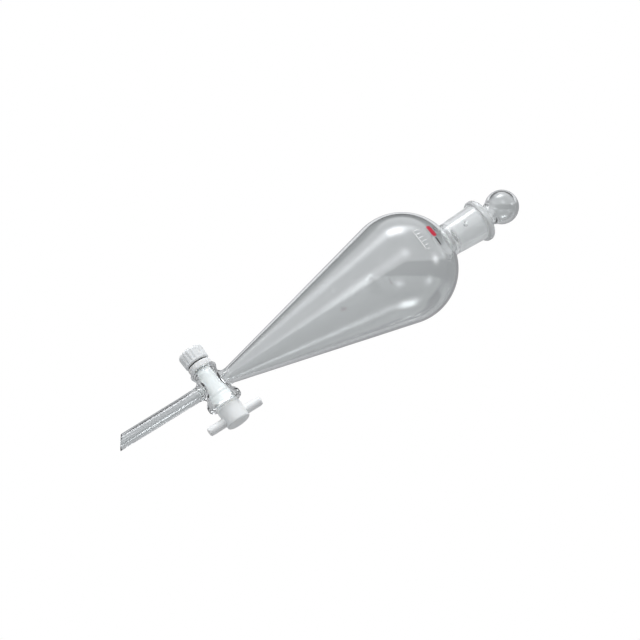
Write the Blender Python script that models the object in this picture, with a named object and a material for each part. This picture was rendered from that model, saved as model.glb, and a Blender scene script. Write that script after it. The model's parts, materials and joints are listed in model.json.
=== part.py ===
"""Separatory funnel: pear-shaped glass body with a ground socket, a hollow ball
stopper with a vent groove, and a PTFE plug stopcock held by a screwed tension nut.

Frame: metres, +Z up the funnel's axis, drain tip down. The origin is on the axis
in the plane where a 50 mm support ring carries the cone. The stopcock barrel runs
along X: T-handle at +X, tension nut at -X. At rest the stopcock is open.
Heights below are in millimetres above a datum 3 mm under the drain tip.
"""
import bpy
import bmesh
import math
from mathutils import Vector

MM = 0.001

# ---- driving dimensions, millimetres -------------------------------------------
RING_HEIGHT = 168.0          # plane of the support ring, and of the origin
SEAM = 0.30                  # gap left at each fused glass seam
WALL = 1.5                   # glass wall

STEM_R = 4.5                 # drain stem, outside radius
STEM_BORE_R = 3.05
TIP_LOW = 3.0                # lowest point of the drain tip
STEM_TOP = 61.4              # seam with the stopcock barrel
TIP_ANGLE = 34.0             # bevel of the drain tip, degrees

BULB_R = 37.5                # sphere of the pear
BULB_Z = 224.3
CONE_TAN = 0.241             # slope of the cone under the sphere
CONE_BOTTOM = 87.4           # seam with the stopcock barrel
NECK_SEAM = 260.0
NECK_SEAM_R = 11.2

BARREL_Z = 74.4              # stopcock axis
BARREL_X0, BARREL_X1 = -12.6, 14.8
BORE_R0 = 6.18               # taper bore radius at x = 0
TAPER = 1.0 / 14.0           # radius per length: a 1:7 taper
RUN = 0.08                   # running clearance of the plug

SOCKET_TOP = 292.5           # 19/26 ground socket
SOCKET_R_TOP = 9.4
SOCKET_R_LOW = 8.1
SOCKET_LOW = 266.2
NECK_R0, NECK_R1 = 11.35, 12.7
FLANGE_R = 15.0
FLANGE_LOW = 288.0
VENT_Z, VENT_R = 276.0, 1.3

BALL_R = 11.8
BALL_Z = 309.9
STOPPER_LOW = 267.3
STOPPER_NECK_R = 7.5
STOPPER_GAP = 0.06

PLUG_X0 = -12.2              # small end of the taper
TAIL_R = 4.0                 # threaded tail, crest radius
TAIL_ROOT = 3.4
TAIL_END = -27.1
TAIL_FLAT = 3.3              # D flat on the tail
THREAD_X = -16.4             # thread starts here
PITCH = 1.5
THREAD_GAP = 0.22
FLOW_R = 1.5                 # flow hole through the plug
HEAD_R, HEAD_X0, HEAD_X1 = 8.1, 15.1, 29.6

BAR_X = 24.7                 # T-bar through the head
BAR_R, BAR_HALF = 3.05, 19.5
BAR_GAP = 0.05

WASHER_X0, WASHER_X1, WASHER_R = -16.6, -12.75, 8.0
HOLE_R, HOLE_FLAT = 4.3, 3.6
ORING_X, ORING_MAJOR, ORING_MINOR = -17.6, 5.3, 0.95
NUT_X0, NUT_X1 = -27.5, -17.7
NUT_R0, NUT_R1 = 8.8, 8.25   # outer end, inner end
RECESS_R, RECESS_X = 6.45, -18.75   # the O-ring sits half inside the nut
FLUTES, FLUTE_DEPTH = 18, 0.40


def clear_scene():
    for ob in list(bpy.data.objects):
        bpy.data.objects.remove(ob, do_unlink=True)


def material(name, color, roughness, metallic=0.0, transmission=0.0, ior=1.45):
    mat = bpy.data.materials.new(name)
    mat.use_nodes = True
    bsdf = mat.node_tree.nodes["Principled BSDF"]
    bsdf.inputs["Base Color"].default_value = (*color, 1.0)
    bsdf.inputs["Roughness"].default_value = roughness
    bsdf.inputs["Metallic"].default_value = metallic
    bsdf.inputs["Transmission Weight"].default_value = transmission
    bsdf.inputs["IOR"].default_value = ior
    mat.diffuse_color = (*color, 1.0)
    return mat


def finish_mesh(bm, name, mat, smooth_angle=35.0):
    """Close a bmesh into an object whose faces point outwards."""
    bmesh.ops.recalc_face_normals(bm, faces=bm.faces)
    if bm.calc_volume(signed=True) < 0:
        bmesh.ops.reverse_faces(bm, faces=bm.faces)
    mesh = bpy.data.meshes.new(name)
    bm.to_mesh(mesh)
    bm.free()
    mesh.shade_smooth()
    mesh.set_sharp_from_angle(angle=math.radians(smooth_angle))
    ob = bpy.data.objects.new(name, mesh)
    bpy.context.scene.collection.objects.link(ob)
    if mat is not None:
        mesh.materials.append(mat)
    return ob


def turned(name, profile, segs, mat, axis="Z", closed=True, shape=None, tip=None):
    """Turn a profile of (radius, position) pairs, in millimetres, about an axis.

    closed joins the last point to the first, so the solid has a bore through it.
    An open profile starts and ends on the axis. shape(r, t, theta) alters a
    radius, and tip(point) alters the points of the first two rings.
    """
    bm = bmesh.new()
    rings = []
    for i, (r, t) in enumerate(profile):
        if r == 0:
            ring = [bm.verts.new(place(0.0, 0.0, t, axis))]
        else:
            ring = []
            for k in range(segs):
                a = 2 * math.pi * k / segs
                rr = shape(r, t, a) if shape else r
                ring.append(bm.verts.new(place(rr * math.cos(a), rr * math.sin(a), t, axis)))
        rings.append(ring)
    count = len(rings)
    for i in range(count if closed else count - 1):
        a, b = rings[i], rings[(i + 1) % count]
        for k in range(segs):
            k2 = (k + 1) % segs
            if len(a) == 1:
                bm.faces.new((a[0], b[k], b[k2]))
            elif len(b) == 1:
                bm.faces.new((a[k], b[0], a[k2]))
            else:
                bm.faces.new((a[k], b[k], b[k2], a[k2]))
    if tip:
        for ring in rings[:1] + rings[-1:]:
            for v in ring:
                v.co = tip(v.co)
    return finish_mesh(bm, name, mat)


def place(u, v, t, axis):
    if axis == "Z":
        return Vector((u, v, t)) * MM
    return Vector((t, u, v)) * MM          # about X: u along Y, v along Z


def lift(ob, height_mm=0.0, parent=None):
    """Put an object's origin on the funnel's axis at a height above the tip."""
    z = (height_mm - RING_HEIGHT) * MM
    if parent is not None:
        ob.parent = parent
        z -= parent.location.z
    ob.location = (0.0, 0.0, z)
    return ob


def cutter(ob):
    ob.hide_render = True
    ob.display_type = "WIRE"
    ob.hide_viewport = False
    return ob


def boolean(ob, other, operation):
    mod = ob.modifiers.new(operation.lower() + "_" + other.name, "BOOLEAN")
    mod.operation = operation
    mod.solver = "EXACT"
    mod.object = other
    cutter(other)


def arc(cr, cz, radius, a0, a1, count):
    """Points on a circle in the profile plane, angles in degrees from +r."""
    out = []
    for i in range(count + 1):
        a = math.radians(a0 + (a1 - a0) * i / count)
        out.append((cr + radius * math.cos(a), cz + radius * math.sin(a)))
    return out


def cone_radius(h):
    """Outside radius of the pear's cone, tangent to its sphere."""
    beta = math.atan(CONE_TAN)
    rt = BULB_R * math.cos(beta)
    ht = BULB_Z - BULB_R * math.sin(beta)
    return rt - CONE_TAN * (ht - h)


def bore_radius(x):
    return BORE_R0 + TAPER * x


def socket_radius(h):
    f = (h - SOCKET_LOW) / (SOCKET_TOP - SOCKET_LOW)
    return SOCKET_R_LOW + (SOCKET_R_TOP - SOCKET_R_LOW) * f


def thread(x, theta):
    """Radius of a right-hand thread on the plug's tail, which points along -X."""
    phase = (theta / (2 * math.pi) - x / PITCH) % 1.0
    tri = 1.0 - abs(2.0 * phase - 1.0)
    tri = min(1.0, max(0.0, (tri - 0.15) / 0.7))
    return TAIL_ROOT + (TAIL_R - TAIL_ROOT) * tri


def d_shape(r, theta, flat):
    """Clamp a radius to a flat that faces +Z."""
    c = math.cos(theta - math.pi / 2)
    return min(r, flat / c) if c > 0.2 else r


clear_scene()

glass = material("clear_glass", (0.90, 0.94, 0.93), 0.02, transmission=1.0, ior=1.47)
ground = material("ground_glass", (0.86, 0.88, 0.87), 0.35, transmission=0.7, ior=1.47)
ptfe = material("white_ptfe", (0.90, 0.91, 0.90), 0.38)
bar_white = material("white_handle_plastic", (0.91, 0.91, 0.91), 0.42)
nut_white = material("white_nut_plastic", (0.88, 0.89, 0.90), 0.45)
rubber = material("black_rubber", (0.015, 0.015, 0.016), 0.55)

# ---- stem ------------------------------------------------------------------------
slope = math.tan(math.radians(TIP_ANGLE))


def bevelled(co):
    """Move an end point of the tube onto the ground bevel, lowest at +X."""
    return Vector((co.x, co.y, TIP_LOW * MM + slope * (STEM_R * MM - co.x)))


def stem():
    top = STEM_TOP - SEAM / 2
    prof = [(STEM_R, TIP_LOW), (STEM_R, 14.0), (STEM_R, 50.0), (STEM_R + 0.1, 56.0),
            (STEM_R + 0.2, top), (STEM_BORE_R, top), (STEM_BORE_R, 14.0),
            (STEM_BORE_R, TIP_LOW)]
    ob = turned("stem", prof, 32, glass, tip=bevelled)
    return lift(ob)


# ---- bulb ------------------------------------------------------------------------
def bulb():
    beta = math.degrees(math.atan(CONE_TAN))
    low = CONE_BOTTOM + SEAM / 2
    high = NECK_SEAM - SEAM / 2
    ri = BULB_R - WALL
    outer_end = math.degrees(math.acos(NECK_SEAM_R / BULB_R))
    inner_r = 9.3
    inner_end = math.degrees(math.acos(inner_r / ri))
    prof = [(cone_radius(low), low)]
    for h in (125.0, 175.0):
        prof.append((cone_radius(h), h))
    prof += arc(0.0, BULB_Z, BULB_R, -beta, outer_end, 14)
    prof[-1] = (NECK_SEAM_R, high)
    inner = arc(0.0, BULB_Z, ri, inner_end, -beta, 12)
    inner.insert(0, (inner_r, high))
    dr = WALL / math.cos(math.radians(beta))
    for h in (175.0, 125.0, low):
        inner.append((cone_radius(h) - dr, h))
    ob = turned("bulb", prof + inner, 48, glass)
    return lift(ob)


# ---- neck with the ground socket ---------------------------------------------------
def neck_socket():
    low = NECK_SEAM + SEAM / 2
    prof = [(NECK_SEAM_R, low), (NECK_R0, low + 0.8), (NECK_R1, FLANGE_LOW - 0.6),
            (NECK_R1 + 0.6, FLANGE_LOW), (FLANGE_R - 0.75, FLANGE_LOW + 0.35),
            (FLANGE_R - 0.15, FLANGE_LOW + 1.15), (FLANGE_R, FLANGE_LOW + 2.1),
            (FLANGE_R - 0.15, FLANGE_LOW + 3.1), (FLANGE_R - 0.7, SOCKET_TOP - 0.45),
            (FLANGE_R - 1.5, SOCKET_TOP), (SOCKET_R_TOP + 0.35, SOCKET_TOP),
            (socket_radius(SOCKET_TOP - 0.5), SOCKET_TOP - 0.5),
            (socket_radius(279.0), 279.0), (SOCKET_R_LOW, SOCKET_LOW),
            (SOCKET_R_LOW + 0.5, SOCKET_LOW - 1.2), (9.3, low)]
    ob = turned("neck_socket", prof, 48, ground)
    vent = turned("vent_drill", [(0, -16.0), (VENT_R, -16.0), (VENT_R, -5.0), (0, -5.0)],
                  16, None, axis="X", closed=False)
    # the drill lies along Y, on the side that faces -Y
    vent.rotation_euler = (0.0, 0.0, math.pi / 2)
    lift(vent, VENT_Z)
    boolean(ob, vent, "DIFFERENCE")
    return lift(ob)


# ---- stopcock barrel -----------------------------------------------------------------
def stopcock_barrel():
    x0, x1 = BARREL_X0, BARREL_X1
    outer = [(0, x0), (8.6, x0), (9.15, x0 + 0.45), (9.3, x0 + 1.5), (9.0, x0 + 2.6),
             (8.2, x0 + 3.8), (7.75, x0 + 5.2), (8.3, 0.0), (8.95, 6.6), (9.7, 8.3),
             (11.2, 9.7), (11.8, 11.2), (11.75, 12.9), (11.2, x1 - 0.7), (10.3, x1), (0, x1)]
    body = turned("stopcock_barrel", outer, 48, glass, axis="X", closed=False)
    lift(body, BARREL_Z)

    low, high = STEM_TOP + SEAM / 2, CONE_BOTTOM - SEAM / 2
    z = BARREL_Z
    side = [(0, low), (STEM_R + 0.2, low), (4.9, z - 11.4), (5.35, z - 10.0), (6.1, z - 8.7),
            (7.1, z - 7.4), (7.1, z), (7.6, z + 6.9), (6.6, z + 8.2), (5.8, z + 9.4),
            (5.45, z + 10.8), (cone_radius(high), high), (0, high)]
    arms = turned("side_arms", side, 32, None, closed=False)
    arms.rotation_euler = (0.0, 0.0, math.radians(3.0))
    lift(arms)
    boolean(body, arms, "UNION")

    inner_top = cone_radius(high) - WALL / math.cos(math.atan(CONE_TAN))
    way = [(0, low - 1.0), (STEM_BORE_R, low - 1.0), (STEM_BORE_R, z - 10.3), (2.1, z - 8.0),
           (2.1, z + 7.0), (2.4, z + 8.6), (3.3, z + 11.0),
           (3.3 + (inner_top - 3.3) * (high + 1.0 - z - 11.0) / (high - z - 11.0), high + 1.0),
           (0, high + 1.0)]
    drill = turned("flow_drill", way, 28, None, closed=False)
    drill.rotation_euler = (0.0, 0.0, math.radians(2.0))
    lift(drill)
    boolean(body, drill, "DIFFERENCE")

    a, b = x0 - 1.0, x1 + 1.0
    taper = turned("taper_reamer", [(0, a), (bore_radius(a), a), (bore_radius(b), b), (0, b)],
                   48, None, axis="X", closed=False)
    lift(taper, BARREL_Z)
    boolean(body, taper, "DIFFERENCE")
    return body


# ---- stopper -------------------------------------------------------------------------
def stopper():
    g = STOPPER_GAP
    low = STOPPER_LOW
    a0 = math.degrees(math.asin(-7.9 / BALL_R))
    outer = [(7.2, low), (7.85, low + 0.35), (socket_radius(low + 1.2) - g, low + 1.2),
             (socket_radius(279.0) - g, 279.0), (socket_radius(291.9) - g, 291.9),
             (9.3, 293.2), (8.9, 294.2), (8.0, 295.5), (STOPPER_NECK_R, 297.0),
             (STOPPER_NECK_R, 298.8), (7.9, 300.5)]
    outer += arc(0.0, BALL_Z, BALL_R, a0, 90.0, 10)
    outer[-1] = (0, BALL_Z + BALL_R)
    ri = BALL_R - 1.4
    b0 = math.degrees(math.asin(-8.1 / ri))
    inner = arc(0.0, BALL_Z, ri, 90.0, b0, 7)
    inner[0] = (0, BALL_Z + ri)
    inner += [(6.1, 299.5), (6.0, 297.2), (6.6, 294.4), (7.75, 291.6),
              (socket_radius(low + 1.2) - g - 1.6, low + 1.2), (6.5, low)]
    # one profile from the crown's outside pole, round the open foot, to its inside pole
    outer.reverse()
    inner.reverse()
    ob = turned("stopper", outer + inner, 40, glass, closed=False)
    groove = turned("groove_mill", [(0, low - 2.0), (1.0, low - 2.0), (1.0, VENT_Z + 1.2),
                                    (0, VENT_Z + 1.2)], 16, None, closed=False)
    lift(groove)
    groove.location.x = (socket_radius(270.0) + 0.15) * MM
    boolean(ob, groove, "DIFFERENCE")
    return lift(ob)


# ---- stopcock plug, handle bar, washer, O-ring and nut --------------------------------
def stopcock_plug(parent):
    r = lambda x: bore_radius(x) - RUN
    prof = [(0, HEAD_X1), (HEAD_R - 0.8, HEAD_X1), (HEAD_R - 0.2, HEAD_X1 - 0.3),
            (HEAD_R, HEAD_X1 - 1.0), (HEAD_R, HEAD_X0 + 0.6), (HEAD_R - 0.5, HEAD_X0),
            (r(14.8), HEAD_X0), (r(14.7), 14.7), (r(0.0), 0.0),
            (r(PLUG_X0 + 0.6), PLUG_X0 + 0.6), (r(PLUG_X0) - 0.5, PLUG_X0),
            (TAIL_R, PLUG_X0), (TAIL_R, -15.8)]
    x = THREAD_X
    while x > TAIL_END + 0.1:
        prof.append((TAIL_R, x))
        x -= PITCH / 5.0
    prof += [(TAIL_ROOT, TAIL_END), (0, TAIL_END)]

    def shape(rad, x, theta):
        if x <= THREAD_X + 1e-6 and x > TAIL_END + 1e-6:
            rad = thread(x, theta)
        if x < PLUG_X0 - 1e-6 or (x <= PLUG_X0 + 1e-6 and rad <= TAIL_R + 1e-6):
            rad = d_shape(rad, theta, TAIL_FLAT)
        return rad

    ob = turned("stopcock_plug", prof, 40, ptfe, axis="X", closed=False, shape=shape)
    lift(ob, BARREL_Z, parent)
    flow = turned("flow_hole", [(0, -12.0), (FLOW_R, -12.0), (FLOW_R, 12.0), (0, 12.0)],
                  24, None, closed=False)
    lift(flow, BARREL_Z)
    boolean(ob, flow, "DIFFERENCE")
    rr = BAR_R + BAR_GAP
    hole = turned("bar_hole", [(0, -12.0), (rr, -12.0), (rr, 12.0), (0, 12.0)],
                  24, None, closed=False)
    lift(hole, BARREL_Z)
    hole.location.x = BAR_X * MM
    boolean(ob, hole, "DIFFERENCE")
    return ob


def handle_bar(parent):
    half, r = BAR_HALF, BAR_R
    end = [(0, half), (r * 0.45, half - 0.15), (r * 0.8, half - 0.8), (r, half - 2.0)]
    prof = end + [(r, 0.0)] + [(a, -b) for a, b in reversed(end)]
    ob = turned("handle_bar", prof, 24, bar_white, closed=False)
    lift(ob, BARREL_Z, parent)
    ob.location.x = BAR_X * MM
    return ob


def plug_washer(parent):
    x0, x1, r = WASHER_X0, WASHER_X1, WASHER_R
    prof = [(HOLE_R, x0), (r - 0.4, x0), (r, x0 + 0.4), (r, x1 - 0.3), (r - 0.3, x1), (HOLE_R, x1)]

    def shape(rad, x, theta):
        return d_shape(rad, theta, HOLE_FLAT) if rad <= HOLE_R + 1e-6 else rad

    ob = turned("plug_washer", prof, 40, ptfe, axis="X", shape=shape)
    return lift(ob, BARREL_Z, parent)


def o_ring(parent):
    prof = arc(ORING_MAJOR, ORING_X, ORING_MINOR, 0.0, 324.0, 9)
    ob = turned("o_ring", prof, 32, rubber, axis="X")
    return lift(ob, BARREL_Z, parent)


def tension_nut(parent):
    x0, x1 = NUT_X0, NUT_X1
    prof = [(0, x1), (NUT_R1 - 1.3, x1), (NUT_R1 - 0.35, x1 - 0.35), (NUT_R1, x1 - 1.2),
            (NUT_R0, x0 + 1.3), (NUT_R0 - 0.5, x0 + 0.35), (NUT_R0 - 1.4, x0), (0, x0)]

    def shape(rad, x, theta):
        if rad < NUT_R1 - 0.6:
            return rad
        wave = 0.5 - 0.5 * math.cos(FLUTES * theta)
        return rad - FLUTE_DEPTH * wave ** 1.5

    ob = turned("tension_nut", prof, FLUTES * 4, nut_white, axis="X", closed=False, shape=shape)
    lift(ob, BARREL_Z, parent)

    tap_prof = [(0, x1 + 0.9), (TAIL_R, x1 + 0.9)]
    x = x1 + 0.65
    while x > x0 - 1.0:
        tap_prof.append((TAIL_R, x))
        x -= PITCH / 5.0
    tap_prof.append((0, x))

    def cut(rad, x, theta):
        return thread(x, theta) + THREAD_GAP

    tap = turned("nut_tap", tap_prof, 28, None, axis="X", closed=False, shape=cut)
    lift(tap, BARREL_Z)
    boolean(ob, tap, "DIFFERENCE")
    recess = turned("nut_recess", [(0, x1 + 0.9), (RECESS_R, x1 + 0.9), (RECESS_R, RECESS_X), (0, RECESS_X)],
                    32, None, axis="X", closed=False)
    lift(recess, BARREL_Z)
    boolean(ob, recess, "DIFFERENCE")
    return ob


axis = bpy.data.objects.new("stopcock_axis", None)
bpy.context.scene.collection.objects.link(axis)
axis.location = (0.0, 0.0, (BARREL_Z - RING_HEIGHT) * MM)

stem()
bulb()
neck_socket()
stopcock_barrel()
stopper()
stopcock_plug(axis)
handle_bar(axis)
plug_washer(axis)
o_ring(axis)
tension_nut(axis)
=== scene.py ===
"""Separatory funnel: the fine visible pieces, materials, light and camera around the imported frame.

Lengths below are in millimetres unless a name says otherwise; heights h are above a
datum 3 mm under the drain tip, and h = 168 is the frame's origin.
"""
import json
import math

import bmesh
import bpy
import numpy as np
from mathutils import Matrix, Vector

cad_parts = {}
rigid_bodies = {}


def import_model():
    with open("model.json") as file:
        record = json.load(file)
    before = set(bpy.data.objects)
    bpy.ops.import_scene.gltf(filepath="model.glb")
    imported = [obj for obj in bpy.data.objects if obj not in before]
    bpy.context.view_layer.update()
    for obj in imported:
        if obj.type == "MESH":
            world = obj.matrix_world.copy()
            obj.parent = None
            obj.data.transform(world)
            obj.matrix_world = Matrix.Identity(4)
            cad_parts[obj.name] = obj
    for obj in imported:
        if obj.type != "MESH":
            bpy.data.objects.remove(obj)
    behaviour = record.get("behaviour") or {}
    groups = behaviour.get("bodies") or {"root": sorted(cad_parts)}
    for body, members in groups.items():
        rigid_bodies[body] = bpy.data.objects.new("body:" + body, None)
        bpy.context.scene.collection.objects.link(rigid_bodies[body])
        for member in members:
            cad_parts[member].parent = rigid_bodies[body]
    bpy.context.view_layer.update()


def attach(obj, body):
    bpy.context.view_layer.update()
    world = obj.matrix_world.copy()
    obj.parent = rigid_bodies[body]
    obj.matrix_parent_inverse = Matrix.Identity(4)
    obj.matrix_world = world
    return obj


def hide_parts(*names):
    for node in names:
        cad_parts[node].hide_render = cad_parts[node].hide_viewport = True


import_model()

MM = 0.001
ORIGIN_H = 168.0
TAU = 2.0 * math.pi

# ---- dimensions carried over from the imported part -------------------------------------
STEM_R, BORE_R = 4.5, 3.05
TIP_LOW, TIP_SLOPE = 3.0, math.tan(math.radians(34.0))
BULB_R, BULB_H, WALL, CONE_TAN = 37.5, 224.3, 1.5, 0.241
BARREL_H = 74.4
BAR_X = 24.7
LOW_CUT, HIGH_CUT = 61.0, 88.0


def cone_radius(h):
    beta = math.atan(CONE_TAN)
    return BULB_R * math.cos(beta) - CONE_TAN * (BULB_H - BULB_R * math.sin(beta) - h)


def inner_cone(h):
    return cone_radius(h) - WALL / math.cos(math.atan(CONE_TAN))


def socket_radius(h):
    return 8.1 + 1.3 * (h - 266.2) / 26.3


def bore_radius(x):
    return 6.18 + x / 14.0


# ---- profile helpers --------------------------------------------------------------------
def rounded(points, radius, radii=None, seg=5, closed=False):
    """A polyline with each corner replaced by a tangent arc."""
    pts = [np.array(p, float) for p in points]
    radii = radii or {}
    n = len(pts)
    out = []
    for i in range(n):
        if not closed and i in (0, n - 1):
            out.append(pts[i])
            continue
        p, a, b = pts[i], pts[i - 1], pts[(i + 1) % n]
        r = radii.get(i, radius)
        u, v = a - p, b - p
        lu, lv = np.linalg.norm(u), np.linalg.norm(v)
        if r <= 0 or lu < 1e-9 or lv < 1e-9:
            out.append(p)
            continue
        u, v = u / lu, v / lv
        c = float(np.clip(u @ v, -1, 1))
        half = math.acos(c) / 2
        if half > math.pi / 2 - 0.02:
            out.append(p)
            continue
        t = min(r / math.tan(half), 0.48 * lu, 0.48 * lv)
        r = t * math.tan(half)
        bis = (u + v) / np.linalg.norm(u + v)
        centre = p + bis * (r / math.sin(half))
        s0, s1 = p + u * t - centre, p + v * t - centre
        ang = math.acos(float(np.clip(s0 @ s1 / (r * r), -1, 1)))
        k = max(2, int(math.ceil(seg * ang / (math.pi / 2))) + 1)
        for j in range(k + 1):
            f = j / k
            w0 = math.sin((1 - f) * ang) / math.sin(ang)
            w1 = math.sin(f * ang) / math.sin(ang)
            out.append(centre + s0 * w0 + s1 * w1)
    return out


def densify(points, step, closed=False):
    """Extra points so that no segment is longer than step."""
    pts = [np.array(p, float) for p in points]
    out = []
    n = len(pts)
    for i in range(n if closed else n - 1):
        a, b = pts[i], pts[(i + 1) % n]
        k = max(1, int(math.ceil(np.linalg.norm(b - a) / step)))
        for j in range(k):
            out.append(a + (b - a) * (j / k))
    if not closed:
        out.append(pts[-1])
    return out


def smooth_table(points, lo, hi, sigma, step=0.05):
    """A smoothed curve through (radius, position) points, as a function."""
    pts = sorted((t, r) for r, t in points)
    t = np.arange(lo - 6 * sigma, hi + 6 * sigma, step)
    y = np.interp(t, [p[0] for p in pts], [p[1] for p in pts])
    first, last = pts[0], pts[-1]
    k = np.arange(-int(4 * sigma / step), int(4 * sigma / step) + 1) * step
    w = np.exp(-0.5 * (k / sigma) ** 2)
    w /= w.sum()
    y = np.convolve(np.pad(y, len(k) // 2, mode="edge"), w, mode="valid")
    return lambda q: np.interp(q, t, y)


# ---- mesh helpers -----------------------------------------------------------------------
def ring(radius, height, n, axis="Z", phase=0.0):
    a = np.arange(n) * TAU / n + phase
    r = radius(a) if callable(radius) else radius
    h = height(a) if callable(height) else np.full(n, float(height))
    u, v = r * np.cos(a), r * np.sin(a)
    return np.stack([u, v, h], 1) if axis == "Z" else np.stack([h, u, v], 1)


def tube(rings, closed=False):
    """Vertices and quads through rings of equal count; a ring of one point is a pole."""
    verts, faces, starts = [], [], []
    for r in rings:
        starts.append(sum(len(v) for v in verts))
        verts.append(np.asarray(r, float).reshape(-1, 3))
    m = len(rings)
    for i in range(m if closed else m - 1):
        j = (i + 1) % m
        a, b, na, nb = starts[i], starts[j], len(rings[i]), len(rings[j])
        n = max(na, nb)
        for k in range(n):
            k2 = (k + 1) % n
            if na == 1:
                faces.append((a, b + k, b + k2))
            elif nb == 1:
                faces.append((a + k, b, a + k2))
            else:
                faces.append((a + k, b + k, b + k2, a + k2))
    return np.concatenate(verts), faces


def make(name, verts, faces, material, origin=(0.0, 0.0, 0.0), weld=0.0, cuts=(), sharp=None, sets=None):
    """A closed, outward-facing, smooth-shaded piece from vertices in millimetres."""
    mesh = bpy.data.meshes.new(name)
    v = np.asarray(verts, float) + np.asarray(origin, float)
    v = (v - np.array([0, 0, ORIGIN_H])) * MM
    mesh.from_pydata(v.tolist(), [], [tuple(f) for f in faces])
    bm = bmesh.new()
    bm.from_mesh(mesh)
    if weld:
        bmesh.ops.remove_doubles(bm, verts=bm.verts, dist=weld * MM)
    bmesh.ops.recalc_face_normals(bm, faces=bm.faces)
    if bm.calc_volume(signed=True) < 0:
        bmesh.ops.reverse_faces(bm, faces=bm.faces)
    bm.to_mesh(mesh)
    bm.free()
    ob = bpy.data.objects.new(name, mesh)
    bpy.context.scene.collection.objects.link(ob)
    for c in cuts:
        mod = ob.modifiers.new("cut_" + c.name, "BOOLEAN")
        mod.operation, mod.solver, mod.object = "DIFFERENCE", "EXACT", c
    if cuts:
        bpy.context.view_layer.update()
        done = bpy.data.meshes.new_from_object(ob.evaluated_get(bpy.context.evaluated_depsgraph_get()))
        ob.modifiers.clear()
        ob.data = done
        done.name = name
        bm = bmesh.new()
        bm.from_mesh(done)
        bmesh.ops.dissolve_degenerate(bm, dist=1e-7, edges=bm.edges)
        bm.to_mesh(done)
        bm.free()
        for c in cuts:
            bpy.data.objects.remove(c, do_unlink=True)
    ob.data.materials.clear()
    ob.data.materials.append(material)
    ob.data.shade_smooth()
    if sharp:
        ob.data.set_sharp_from_angle(angle=math.radians(sharp))
    return ob


def drill(name, centre, direction, radius, length, n=40):
    """A round cutter centred on a point, with enough rings to keep the cut faces short."""
    d = Vector(direction).normalized()
    q = d.to_track_quat("Z", "Y").to_matrix()
    rows = [np.array([[0, 0, -length / 2]])]
    rows += [ring(radius, h, n) for h in np.linspace(-length / 2, length / 2, 9)]
    rows += [np.array([[0, 0, length / 2]])]
    v, f = tube(rows)
    v = v @ np.array(q).T + np.array(centre)
    return make(name, v, f, None)


# ---- materials --------------------------------------------------------------------------
def nodes_of(name):
    mat = bpy.data.materials.new(name)
    mat.use_nodes = True
    nt = mat.node_tree
    return mat, nt, nt.nodes["Principled BSDF"]


def node(nt, kind, **values):
    n = nt.nodes.new(kind)
    for key, value in values.items():
        if hasattr(n, key):
            setattr(n, key, value)
        else:
            n.inputs[key.replace("_", " ")].default_value = value
    return n


def math_node(nt, op, a, b=None, clamp=False):
    n = nt.nodes.new("ShaderNodeMath")
    n.operation, n.use_clamp = op, clamp
    for i, x in enumerate((a, b)):
        if x is None:
            continue
        if isinstance(x, (int, float)):
            n.inputs[i].default_value = x
        else:
            nt.links.new(x, n.inputs[i])
    return n.outputs[0]


def map_range(nt, value, a, b, c, d, smooth=True):
    n = nt.nodes.new("ShaderNodeMapRange")
    n.interpolation_type = "SMOOTHSTEP" if smooth else "LINEAR"
    n.clamp = True
    nt.links.new(value, n.inputs["Value"])
    for key, x in (("From Min", a), ("From Max", b), ("To Min", c), ("To Max", d)):
        n.inputs[key].default_value = x
    return n.outputs["Result"]


def mix_colour(nt, factor, a, b):
    n = nt.nodes.new("ShaderNodeMix")
    n.data_type = "RGBA"
    nt.links.new(factor, n.inputs["Factor"])
    n.inputs["A"].default_value = (*a, 1.0)
    n.inputs["B"].default_value = (*b, 1.0)
    return n.outputs["Result"]


def object_xyz(nt):
    co = nt.nodes.new("ShaderNodeTexCoord")
    sep = nt.nodes.new("ShaderNodeSeparateXYZ")
    nt.links.new(co.outputs["Object"], sep.inputs[0])
    return co.outputs["Object"], sep.outputs["X"], sep.outputs["Y"], sep.outputs["Z"]


def noise(nt, vector, scale, detail=3.0, rough=0.55):
    n = nt.nodes.new("ShaderNodeTexNoise")
    n.inputs["Scale"].default_value = scale
    n.inputs["Detail"].default_value = detail
    n.inputs["Roughness"].default_value = rough
    nt.links.new(vector, n.inputs["Vector"])
    return n.outputs["Fac"]


def bump(nt, height, strength, distance, normal=None):
    n = nt.nodes.new("ShaderNodeBump")
    n.inputs["Strength"].default_value = strength
    n.inputs["Distance"].default_value = distance
    nt.links.new(height, n.inputs["Height"])
    if normal is not None:
        nt.links.new(normal, n.inputs["Normal"])
    return n.outputs["Normal"]


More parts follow.
